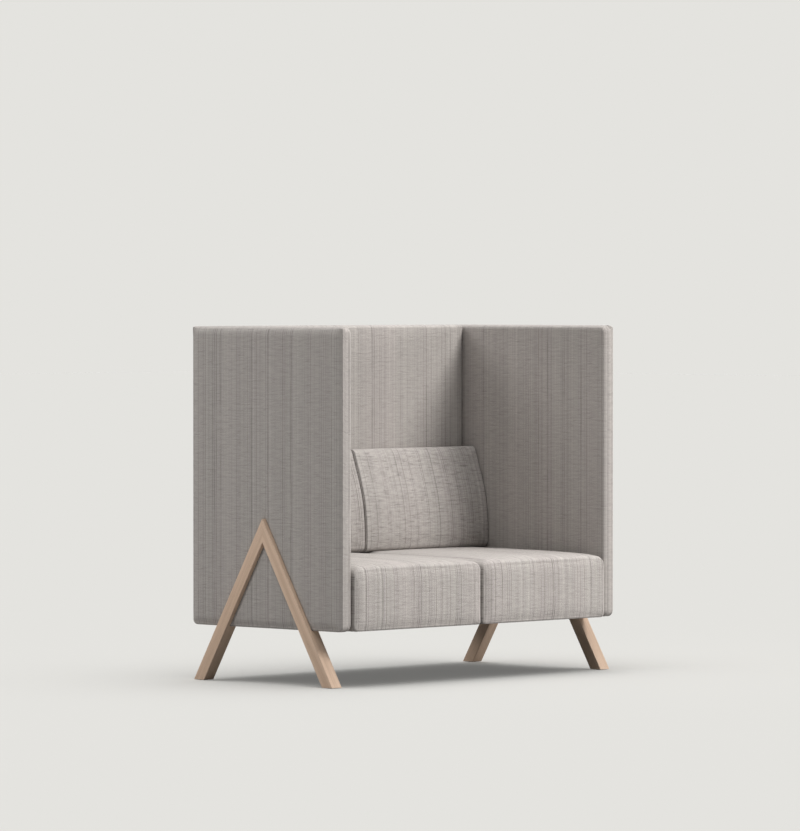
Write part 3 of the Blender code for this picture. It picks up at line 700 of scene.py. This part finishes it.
def upholstered(name, axis, ends, band_steps, face_map, band_map, materials, dip=lambda distance: 0.0):
    """Closed cover between two outlined ends on an axis, with a seam round each face and a map in metres.

    Each end gives its place on the axis, its outline, the edge rounding of every outline point, in the plane
    of the outline and along the axis, and the turn at which its seam lies.
    """
    points, _, cells = ends[0][1]
    count = len(points)
    runs = [0.0]
    for i in range(count):
        runs.append(runs[-1] + (points[(i + 1) % count] - points[i]).length)

    def solid(point, depth):
        return Vector((depth, point.x, point.y)) if axis == "X" else Vector((point.x, depth, point.y))

    first_rings, *first_face = edge_rings(ends[0], 1.0, solid, dip)
    last_rings, *last_face = edge_rings(ends[1], -1.0, solid, dip)
    sides = list(zip(first_rings[-1][1], last_rings[-1][1]))
    band = [("band", [a.lerp(b, k / band_steps) for a, b in sides]) for k in range(1, band_steps)]
    rings = first_rings + band + last_rings[::-1]

    bm = bmesh.new()
    cloth_map = bm.loops.layers.uv.new("cloth")
    held = bm.verts.layers.float.new("held")
    rows = []
    for kind, ring in rings:
        row = [bm.verts.new(p) for p in ring]
        for vert in row:
            vert[held] = 1.0 if kind == "seam" else 0.0
        rows.append(row)

    def lay(face, kind, corner_runs=(0.0,) * 4):
        face.material_index = len(materials) - 1 if kind == "band" else 0
        for loop, run in zip(face.loops, corner_runs):
            co = loop.vert.co
            flat, depth = ((co.y, co.z), co.x) if axis == "X" else ((co.x, co.z), co.y)
            loop[cloth_map].uv = face_map(*flat) if kind == "face" else band_map(*flat, depth, run)

    for j in range(len(rings) - 1):
        kind = "face" if "face" in (rings[j][0], rings[j + 1][0]) else "band"
        for i in range(count):
            k = (i + 1) % count
            face = bm.faces.new((rows[j][i], rows[j][k], rows[j + 1][k], rows[j + 1][i]))
            lay(face, kind, (runs[i], runs[i + 1], runs[i + 1], runs[i]))
    for row, (border, depth_at) in ((rows[0], first_face), (rows[-1], last_face)):
        for face in face_grid(bm, list(zip(row, border)), cells, depth_at, solid):
            lay(face, "face")
    return mesh_object(name, bm, *materials)


def swell(piece, cap):
    """Let air swell a sewn cover for a few frames with its seams held, and keep each point within the cap."""
    start = [v.co.copy() for v in piece.data.vertices]
    outward = [v.normal.copy() for v in piece.data.vertices]
    group = piece.vertex_groups.new(name="seams")
    held = piece.data.attributes["held"].data
    group.add([i for i in range(len(start)) if held[i].value > 0.5], 1.0, "REPLACE")
    cloth = piece.modifiers.new("swell", "CLOTH")
    cloth.settings.quality = SWELL_QUALITY
    cloth.settings.mass = SWELL_MASS
    cloth.settings.tension_stiffness = SWELL_STRETCH
    cloth.settings.compression_stiffness = SWELL_STRETCH
    cloth.settings.shear_stiffness = SWELL_SHEAR
    cloth.settings.bending_stiffness = SWELL_BEND
    cloth.settings.use_pressure = True
    cloth.settings.uniform_pressure_force = SWELL_PRESSURE
    cloth.settings.effector_weights.gravity = 0.0
    cloth.settings.vertex_group_mass = "seams"
    cloth.collision_settings.use_collision = False
    cloth.point_cache.frame_end = SWELL_FRAMES
    scene = bpy.context.scene
    for step in range(1, SWELL_FRAMES + 1):
        scene.frame_set(step)
    grown = evaluated_mesh(piece)
    moves = [v.co - s for v, s in zip(grown.vertices, start)]
    piece.modifiers.remove(cloth)
    bpy.data.meshes.remove(grown)
    scene.frame_set(1)
    for vert, origin, move, normal in zip(piece.data.vertices, start, moves, outward):
        sunk = -SWELL_SINK - move.dot(normal)
        if sunk > 0.0:
            move = move + normal * sunk
        length = move.length
        vert.co = origin + (move * (cap * math.tanh(length / cap) / length) if length > TINY else move)
    piece.vertex_groups.clear()


def soft_limits(piece, low, high):
    """Rest a cushion against its neighbours: no point passes the limits."""
    for vert in piece.data.vertices:
        vert.co = Vector([min(max(c, a), b) for c, a, b in zip(vert.co, low, high)])


def refine(piece):
    """One subdivision that keeps the cloth map's borders, applied."""
    sub = piece.modifiers.new("finer", "SUBSURF")
    sub.levels = 1
    sub.render_levels = 1
    sub.uv_smooth = "PRESERVE_BOUNDARIES"
    flatten(piece)
    piece.data.polygons.foreach_set("use_smooth", [True] * len(piece.data.polygons))


def declare(piece, nodes):
    """Hide the solid parts the piece stands for and hang it on the root body."""
    if nodes:
        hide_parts(*nodes)
    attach(piece, "root")


# Materials

cloth = cloth_group()
oak_grain = grain_group()
wall_cloth = cloth_material("striped_wool_wall", cloth, WALL_PATTERN)
seat_cloth = cloth_material("striped_wool_seat", cloth, SEAT_PATTERN)
# the back cushions' cloth carries a painted shadow along its seams
back_cloth = cloth_material("striped_wool_back", cloth, BACK_PATTERN, BACK_SEAM_PAINTED_SHADOW)
plywood = wood_material("birch_plywood", oak_grain, (0, 0, 0), (0, 0, 0), Ring_Width=PLYWOOD_RING)
tongue_wood = wood_material("tongue_beech", oak_grain, (0, 0, 0), TONGUE_SHIFT, Ring_Width=TONGUE_RING)
foam = speckled_material("pale_foam", *FOAM_STUFF)
steel = speckled_material("zinc_steel", *STEEL_STUFF)
plastic = speckled_material("glide_plastic", *PLASTIC_STUFF)
lining = speckled_material("dark_lining", *LINING_STUFF)


# Studio

def make_camera(scene):
    """Camera at the photo's place."""
    camera_data = bpy.data.cameras.new("camera")
    camera_data.lens = CAMERA_LENS
    camera_data.sensor_width = CAMERA_SENSOR
    camera_data.clip_end = CAMERA_FAR
    camera = bpy.data.objects.new("camera", camera_data)
    camera.location = CAMERA_PLACE
    camera.rotation_euler = (math.radians(90.0 - CAMERA_PITCH), 0.0, math.radians(-CAMERA_AZIMUTH))
    scene.collection.objects.link(camera)
    scene.camera = camera


def make_floor():
    """Wide floor that fades into the background and throws less light back from below the sofa."""
    bm = bmesh.new()
    bmesh.ops.create_grid(bm, x_segments=1, y_segments=1, size=FLOOR_SIZE)
    floor_paint, tree, shader = new_material("pale_floor")
    seen = seen_rays(tree)
    open_light = SKY_LOW + SKY_TOP * 2.0 / (SKY_TOP_POWER + 2.0)
    seen_colour = tuple(c * (1.0 - FLOOR_GLOW) / open_light for c in BACKGROUND)
    beside = [maths(tree, "MAXIMUM", maths(tree, "SUBTRACT", maths(tree, "ABSOLUTE", value), half), 0.0)
              for value, half in zip(parts_of(tree, object_place(tree))[:2], (cad_high.x, cad_high.y))]
    away = vector_length(tree, vector_of(tree, *beside, 0.0))
    black = rgba((0.0, 0.0, 0.0))
    fade = spread(tree, away, 0.0, FLOOR_REACH, FLOOR_NEAR, 1.0)
    bounce = blend_colours(tree, fade, black, rgba(FLOOR_BOUNCE))
    glow = blend_colours(tree, seen, black, rgba(BACKGROUND))
    tree.links.new(blend_colours(tree, seen, bounce, rgba(seen_colour)), shader.inputs["Base Color"])
    tree.links.new(glow, shader.inputs["Emission Color"])
    shader.inputs["Emission Strength"].default_value = FLOOR_GLOW
    shader.inputs["Roughness"].default_value = 1.0
    shader.inputs["Specular IOR Level"].default_value = 0.0
    floor = mesh_object("floor", bm, floor_paint)
    return floor


def make_sky(scene):
    """Even background for the camera, and a sky that is brightest overhead for the light."""
    world = bpy.data.worlds.new("studio")
    scene.world = world
    world.use_nodes = True
    tree = world.node_tree
    back = next(n for n in tree.nodes if n.type == "BACKGROUND")
    seen = seen_rays(tree)
    direction = tree.nodes.new("ShaderNodeTexCoord")
    rise = maths(tree, "MAXIMUM", parts_of(tree, direction.outputs["Generated"])[2], 0.0)
    glow = maths(tree, "MULTIPLY_ADD", maths(tree, "POWER", rise, SKY_TOP_POWER), SKY_TOP, SKY_LOW)
    sky = blend_colours(tree, seen, grey_of(tree, glow), rgba(BACKGROUND))
    tree.links.new(sky, back.inputs["Color"])


def make_lamps(scene, floor):
    """Soft key light, weaker on the legs, and a fill from each side; none of them lights the floor."""
    for name, watts, place, width, link, endings in LAMPS:
        lamp_data = bpy.data.lights.new(name, "AREA")
        lamp_data.shape = "DISK"
        lamp_data.size = width
        lamp_data.energy = watts
        lamp_data.color = LAMP_COLOUR
        lamp = bpy.data.objects.new(name, lamp_data)
        lamp.location = place
        lamp.rotation_euler = (Vector(place) - Vector(LAMP_AIM)).to_track_quat("Z", "Y").to_euler()
        lamp.visible_camera = False
        scene.collection.objects.link(lamp)
        linked = bpy.data.collections.new(name + "_link")
        for piece in (floor, *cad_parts.values()):
            if piece.name.endswith(endings):
                linked.objects.link(piece)
        lamp.light_linking.receiver_collection = linked
        for entry in linked.collection_objects:
            entry.light_linking.link_state = link


def make_studio():
    """Everything round the sofa."""
    scene = bpy.context.scene
    scene.view_settings.view_transform = "Standard"
    make_camera(scene)
    floor = make_floor()
    make_sky(scene)
    make_lamps(scene, floor)


make_studio()


# Walls

def wall_dip(distance):
    """How far a wall's face sinks towards its seam."""
    return WALL_DIP * math.exp(-distance / WALL_DIP_REACH)


def wall_edges(outline, corners, edges):
    """Edge rounding of every outline point from those of the sides, top and foot, less at tight corners."""
    low_side, high_side, top, foot = edges
    roundings = []
    for point, normal in zip(*outline[:2]):
        side = high_side if normal.x > 0.0 else low_side
        other = top if normal.y > 0.0 else foot
        flat, deep = [a + (b - a) * abs(normal.y) for a, b in zip(side, other)]
        away, radius = min(((point - Vector(corner[:2])).length, corner[2]) for corner in corners)
        tight = min(flat, CORNER_SHARE * radius)
        roundings.append((tight + (flat - tight) * smooth_step(radius, CORNER_EASE, away), deep))
    return roundings


def wall_end(place, corners, radii, edges, seam_turn, cells=None):
    """One face of a wall: its place, outline, edge roundings and seam."""
    rounded = [(a, b, radius) for (a, b), radius in zip(corners, radii)]
    outline = rounded_outline(rounded, WALL_STEP, cells)
    return place, outline, wall_edges(outline, rounded, edges), seam_turn


def leg_leaves(side_name):
    """The two leg leaves on a wall, in Y and Z: foot corner, inward normal, mitre and sign of each."""
    leaves = []
    for end, sign in (("front", 1.0), ("rear", -1.0)):
        low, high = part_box(f"{side_name}_{end}_leg")
        foot = Vector((low.y if sign > 0 else high.y, low.z))
        apex = Vector((high.y if sign > 0 else low.y, high.z))
        along = (apex - foot).normalized()
        leaves.append((foot, Vector((along.y, -along.x)) * sign, apex.x, sign))
    return leaves


def leaf_distance(leaves, y, z):
    """Distance from a place on a wall to the nearest leg leaf."""
    def beside(foot, inward, mitre, sign):
        depth = (Vector((y, z)) - foot).dot(inward)
        return max(-depth, depth - LEG_FACE, (y - mitre) * sign, 0.0)
    return min(beside(*leaf) for leaf in leaves)


def crown_outside(piece, side_name, low, high, sign):
    """Crown the padding of a wall's outer face and let the legs press it down where they lie on it."""
    leaves = leg_leaves(side_name)
    outer = high.x if sign > 0 else low.x
    bm = bmesh.new()
    bm.from_mesh(piece.data)

    def on_outer(vert):
        return abs(vert.co.x - outer) < 2.0 * WALL_DIP

    wide = [f for f in bm.faces if all(on_outer(v) for v in f.verts)]
    for leaf in leaves:
        foot, inward = leaf[:2]
        near = [f for f in wide if f.is_valid
                and leaf_distance([leaf], *f.calc_center_median().yz) < 2.0 * LEG_GROOVE_CUTS[-1]]
        geom = near + list({e for f in near for e in f.edges}) + list({v for f in near for v in f.verts})
        for depth in [d for cut in LEG_GROOVE_CUTS for d in (-cut, LEG_FACE + cut)]:
            place = foot + inward * depth
            geom = bmesh.ops.bisect_plane(bm, geom=geom, dist=LEG_GROOVE_MERGE,
                                          plane_co=(outer, place.x, place.y),
                                          plane_no=(0.0, inward.x, inward.y))["geom"]
        wide = [f for f in bm.faces if all(on_outer(v) for v in f.verts)]
    for vert in bm.verts:
        if on_outer(vert):
            _, y, z = vert.co
            edge = min(y - low.y, high.y - y, z - low.z, high.z - z) - WALL_OUTER_EDGES[0][0]
            away = max(0.0, leaf_distance(leaves, y, z) - LEG_ROOM)
            vert.co.x += (sign * WALL_CROWN * smooth_step(0.0, WALL_CROWN_RISE, edge)
                          * (1.0 - math.exp(-away / LEG_GROOVE_REACH)))
    bm.to_mesh(piece.data)
    bm.free()


def make_walls():
    """Three padded walls: face panels sewn to an edge band."""
    made = {}
    for side_name, sign in SIDES:
        name = side_name + "_wall"
        low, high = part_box(name + "_cover")
        corners = ((low.y, low.z), (high.y, low.z), (high.y, high.z), (low.y, high.z))
        outer_place, inner_place = (low.x, high.x) if sign < 0 else (high.x, low.x)
        outer = wall_end(outer_place, corners, WALL_OUTER_CORNERS, WALL_OUTER_EDGES, WALL_OUTER_SEAM)
        inner = wall_end(inner_place, corners, WALL_INNER_CORNERS, WALL_INNER_EDGES, WALL_INNER_SEAM,
                         outer[1][2])
        shift = WALL_MAP + sign
        made[name] = upholstered(
            name + "_upholstery", "X", (outer, inner)[::-sign], WALL_BAND_STEPS,
            lambda a, b, s=shift: (a + s, b), lambda a, b, d, run, s=shift: (d + s + WALL_BAND_MAP, run),
            (wall_cloth, seat_cloth), wall_dip)
    name = "back_wall"
    low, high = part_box(name + "_cover")
    corners = ((low.x, low.z), (high.x, low.z), (high.x, high.z), (low.x, high.z))
    radii = (BACK_WALL_CORNER,) * 4
    front = wall_end(low.y, corners, radii, BACK_FRONT_EDGES, WALL_INNER_SEAM)
    rear = wall_end(high.y, corners, radii, BACK_REAR_EDGES, WALL_OUTER_SEAM)
    made[name] = upholstered(
        name + "_upholstery", "Y", (front, rear), WALL_BAND_STEPS, lambda a, b: (a + BACK_WALL_MAP, b),
        lambda a, b, d, run: (a + BACK_WALL_MAP, b + d), (wall_cloth,), wall_dip)
    for name, piece in made.items():
        refine(piece)
        for side_name, sign in SIDES:
            if name.startswith(side_name):
                crown_outside(piece, side_name, *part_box(name + "_cover"), sign)
        declare(piece, [name + "_cover"])


make_walls()


# Seats and back cushions

def seat_form(piece, low, high):
    """Let the top of a seat fall to its nose and to its ends, and hold its underside."""
    held = piece.data.attributes["held"].data
    for vert in piece.data.vertices:
        share_x = (vert.co.x - low.x) / (high.x - low.x)
        share_y = (vert.co.y - low.y) / (high.y - low.y)
        share_z = (vert.co.z - low.z) / (high.z - low.z)
        nose = max(0.0, 1.0 - SEAT_NOSE_REACH * share_y) ** 2
        fall = SEAT_NOSE_DROP * nose + SEAT_END_DROP * (1.0 - bump(share_x))
        vert.co.z -= smooth_step(*SEAT_FALL, share_z) * fall
        if vert.co.z < low.z + SEAT_UNDER_ROUND / 2:
            held[vert.index].value = 1.0


def recess_below(piece, low, high):
    """Sink the middle of a seat's underside, where the lining lies."""
    for vert in piece.data.vertices:
        x, y, z = vert.co
        edge = min(x - low.x, high.x - x, y - low.y, high.y - y)
        vert.co.z = max(z, low.z + SEAT_RECESS * smooth_step(*SEAT_RECESS_EDGE, edge))


def make_seat(side_name, sign):
    """One seat cushion, swollen from a slightly smaller sewn cover."""
    name = side_name + "_seat"
    low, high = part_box(name + "_cover")
    shrink = SEAT_SIDE_SHRINKS[::-sign]
    small_low = low + Vector((shrink[0], -SEAT_FORWARD, 0.0))
    small_high = high - Vector((shrink[1], CLEAR, SEAT_SHRINK))
    low_corners, top_corners = SEAT_LOW_CORNERS[::-sign], SEAT_TOP_CORNERS[::-sign]
    corners = [(small_low.x, low.z, low_corners[0]), (small_high.x, low.z, low_corners[1]),
               (small_high.x, small_high.z, top_corners[1]), (small_low.x, small_high.z, top_corners[0])]
    outline = rounded_outline(corners, CUSHION_STEP)
    roundings = []
    for normal in outline[1]:
        other = SEAT_FRONT_ROUND if normal.y > 0.0 else SEAT_UNDER_ROUND
        side = SEAT_SIDE_ROUNDS[0 if normal.x * sign > 0.0 else 1]
        roundings.append((side + (other - side) * abs(normal.y),) * 2)
    shift = SEAT_MAP[0] + SEAT_MAP[1] * sign
    lower_run = small_high.x - small_low.x - sum(low_corners)
    side_run = small_high.z - low.z - top_corners[1] - low_corners[1]
    top_run = QUARTER * (sum(low_corners) + top_corners[1]) + lower_run + side_run
    over = shift + small_high.x - top_corners[1] + top_run
    piece = upholstered(
        name + "_cushion", "Y",
        ((small_low.y, outline, roundings, SEAT_SEAM), (small_high.y, outline, roundings, SEAT_SEAM)),
        round((high.y - low.y) / CUSHION_STEP), lambda a, b: (a + shift, b),
        lambda a, b, d, run: (over - run, small_high.z + d - small_low.y), (seat_cloth,))
    seat_form(piece, small_low, small_high)
    swell(piece, SEAT_SWELL)
    rooms = SEAT_SIDE_ROOMS[::-sign]
    soft_limits(piece, low + Vector((rooms[0], -SEAT_FREE, 0.0)),
                high + Vector((-rooms[1], 0.0, SEAT_RISE)))
    recess_below(piece, low, high)
    refine(piece)
    declare(piece, [name + "_cover"])


def make_back_cushion(side_name, sign):
    """One loose back cushion, a wedge swollen from a smaller sewn cover."""
    name = side_name + "_back"
    low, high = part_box(name + "_cover")
    foot_front = low.y + BACK_FOOT_SET
    head_front = high.y - BACK_HEAD
    top = high.z + BACK_RISE
    corners = [(foot_front, low.z + CLEAR, BACK_FOOT_ROUND), (high.y, low.z + CLEAR, BACK_FOOT_ROUND),
               (high.y, top, BACK_TOP_ROUND), (head_front, top, BACK_TOP_ROUND)]
    outline = rounded_outline(corners, CUSHION_STEP)
    shift = BACK_MAP[0] + BACK_MAP[1] * sign
    roundings = [(BACK_END_ROUND,) * 2] * len(outline[0])
    piece = upholstered(
        name + "_cushion", "X",
        ((low.x, outline, roundings, BACK_SEAM), (high.x, outline, roundings, BACK_SEAM)),
        round((high.x - low.x) / CUSHION_STEP),
        lambda a, b: (a + shift, b), lambda a, b, d, run: (d + shift, run), (back_cloth,))
    height = high.z - low.z
    for vert in piece.data.vertices:
        share = min(1.0, max(0.0, (vert.co.z - low.z) / height))
        forward = (high.y - vert.co.y) / (high.y - low.y)
        ear = (1.0 - bump((vert.co.x - low.x) / (high.x - low.x))) ** BACK_EAR_POWER
        full = BACK_BELLY * bump(share) + ear * (BACK_EAR_FOOT + (BACK_EAR_HEAD - BACK_EAR_FOOT) * share)
        vert.co.y -= full * min(1.0, forward * BACK_FRONT_SHARE)
    swell(piece, BACK_SWELL)
    soft_limits(piece, low - Vector((0.0, BACK_FREE, 0.0)), high + Vector((0.0, 0.0, BACK_FREE)))
    refine(piece)
    declare(piece, [name + "_cover"])


for cushion_side, cushion_sign in SIDES:
    make_seat(cushion_side, cushion_sign)
    make_back_cushion(cushion_side, cushion_sign)


# Linings and staples below the seats

def staple_tree():
    """Geometry nodes: a staple at every pitch of a closed line, along it and a little out of true."""
    tree = bpy.data.node_groups.new("staple_row", "GeometryNodeTree")
    for socket, kind in (("Line", "Geometry"), ("Staple", "Object"), ("Pitch", "Float"), ("Wobble", "Float"),
                         ("Seed", "Int"), ("Metal", "Material")):
        tree.interface.new_socket(socket, in_out="INPUT", socket_type="NodeSocket" + kind)
    tree.interface.new_socket("Staples", in_out="OUTPUT", socket_type="NodeSocketGeometry")
    links = tree.links

    def add(kind, settings=(), **inputs):
        node = tree.nodes.new(kind)
        for name, value in settings:
            setattr(node, name, value)
        for name, source in inputs.items():
            links.new(source, node.inputs[name.replace("_", " ")])
        return node

    start = add("NodeGroupInput").outputs
    curve = add("GeometryNodeMeshToCurve", Mesh=start["Line"])
    spaced = add("GeometryNodeResampleCurve", (("mode", "LENGTH"),), Curve=curve.outputs["Curve"],
                 Length=start["Pitch"])
    tangent = add("GeometryNodeInputTangent")
    align = add("FunctionNodeAlignRotationToVector", (("axis", "X"), ("pivot_axis", "Z")),
                Vector=tangent.outputs[0])
    yaw = add("FunctionNodeRandomValue", (("data_type", "FLOAT"),), Seed=start["Seed"])
    low, high = [next(s for s in yaw.inputs if s.name == name and s.type == "VALUE")
                 for name in ("Min", "Max")]
    opposite = add("ShaderNodeMath", (("operation", "MULTIPLY"),))
    opposite.inputs[1].default_value = -1.0
    links.new(start["Wobble"], opposite.inputs[0])
    links.new(opposite.outputs[0], low)
    links.new(start["Wobble"], high)
    euler = add("ShaderNodeCombineXYZ", Z=next(s for s in yaw.outputs if s.type == "VALUE"))
    twist = add("FunctionNodeEulerToRotation", Euler=euler.outputs[0])
    turned = add("FunctionNodeRotateRotation", Rotation=align.outputs[0], Rotate_By=twist.outputs[0])
    form = add("GeometryNodeObjectInfo", Object=start["Staple"])
    placed = add("GeometryNodeInstanceOnPoints", Points=spaced.outputs["Curve"],
                 Instance=form.outputs["Geometry"], Rotation=turned.outputs[0])
    solid = add("GeometryNodeRealizeInstances", Geometry=placed.outputs["Instances"])
    painted = add("GeometryNodeSetMaterial", Geometry=solid.outputs["Geometry"], Material=start["Metal"])
    add("NodeGroupOutput", Staples=painted.outputs["Geometry"])
    return tree


def staple_form():
    """One staple crown, a flat bar with soft arrises."""
    bm = bmesh.new()
    bmesh.ops.create_cube(bm, size=1.0)
    bmesh.ops.scale(bm, vec=STAPLE_SIZE, verts=bm.verts)
    bmesh.ops.bevel(bm, geom=list(bm.edges), offset=STAPLE_BEVEL, segments=1, profile=0.5, affect="EDGES")
    return mesh_object("staple_form", bm, steel)


def staples(name, tree, form, low, high, height):
    """Row of staples along a rectangle, as one plain mesh."""
    bm = bmesh.new()
    places = ((low.x, low.y), (high.x, low.y), (high.x, high.y), (low.x, high.y))
    corners = [bm.verts.new((x, y, height)) for x, y in places]
    for i, corner in enumerate(corners):
        bm.edges.new((corner, corners[i - 1]))
    piece = mesh_object(name, bm)
    row = piece.modifiers.new("row", "NODES")
    row.node_group = tree
    for socket, value in (("Staple", form), ("Pitch", STAPLE_PITCH), ("Wobble", STAPLE_WOBBLE),
                          ("Seed", STAPLE_SEED), ("Metal", steel)):
        row[tree.interface.items_tree[socket].identifier] = value
    flatten(piece)
    return piece


def lining_sheet(name, low, high):
    """Thin cloth stretched between its edges, with a little sag and a pucker between its staples."""
    width, length = high.x - low.x, high.y - low.y
    columns, rows = round(width / LINING_STEP), round(length / LINING_STEP)
    bm = bmesh.new()
    skins = []
    for top in (high.z, high.z - LINING_THICKNESS):
        skin = []
        for j in range(rows + 1):
            for i in range(columns + 1):
                x, y = low.x + width * i / columns, low.y + length * j / rows
                edge = min(x - low.x, high.x - x, y - low.y, high.y - y)
                run = x if edge in (y - low.y, high.y - y) else y
                pull = LINING_PUCKER * math.exp(-edge / LINING_PUCKER_REACH)
                drop = (LINING_SAG * bump(i / columns) * bump(j / rows)
                        + pull * (0.5 - 0.5 * math.cos(2.0 * math.pi * run / STAPLE_PITCH)))
                skin.append(bm.verts.new((x, y, top - drop)))
        skins.append(skin)
    line = columns + 1
    for skin in skins:
        for j in range(rows):
            for i in range(columns):
                k = j * line + i
                bm.faces.new((skin[k], skin[k + 1], skin[k + line + 1], skin[k + line]))
    border = (list(range(columns)) + [columns + j * line for j in range(rows)]
              + [rows * line + i for i in range(columns, 0, -1)] + [j * line for j in range(rows, 0, -1)])
    for a, b in zip(border, border[1:] + border[:1]):
        bm.faces.new((skins[0][a], skins[0][b], skins[1][b], skins[1][a]))
    return mesh_object(name, bm, lining)


def make_linings():
    """The cloth below each seat, with the staples that hold it."""
    tree, form = staple_tree(), staple_form()
    inset = Vector((STAPLE_INSET, STAPLE_INSET, 0.0))
    for side_name, _ in SIDES:
        name = side_name + "_seat"
        low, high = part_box(name + "_dust_cloth")
        sheet = lining_sheet(name + "_lining", low, high)
        declare(sheet, [name + "_dust_cloth"])
        height = high.z - LINING_THICKNESS - LINING_PUCKER
        row = staples(name + "_staples", tree, form, low + inset, high - inset, height)
        declare(row, [])
    bpy.data.objects.remove(form)


make_linings()


# Finishes of the pieces that keep their solid shape

def finish_nodes():
    """Give every carried-over piece its own finish."""
    lean_low, lean_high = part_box("left_front_leg")
    lean = math.atan2(lean_high.y - lean_low.y, lean_high.z - lean_low.z)
    finishes = (("_tongue", tongue_wood), ("_bolt", steel), ("_pin", steel), ("_glide", plastic),
                ("_foam", foam))
    for index, (name, node) in enumerate(sorted(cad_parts.items())):
        if name.endswith("_leg"):
            turn = (lean if "front" in name else -lean, 0, 0)
            shift = tuple(step * index for step in LEG_GRAIN_SHIFT)
            paint = wood_material("pale_oak_" + name, oak_grain, turn, shift)
        else:
            paint = next((finish for ending, finish in finishes if name.endswith(ending)), plywood)
        node.data.materials.clear()
        node.data.materials.append(paint)


finish_nodes()
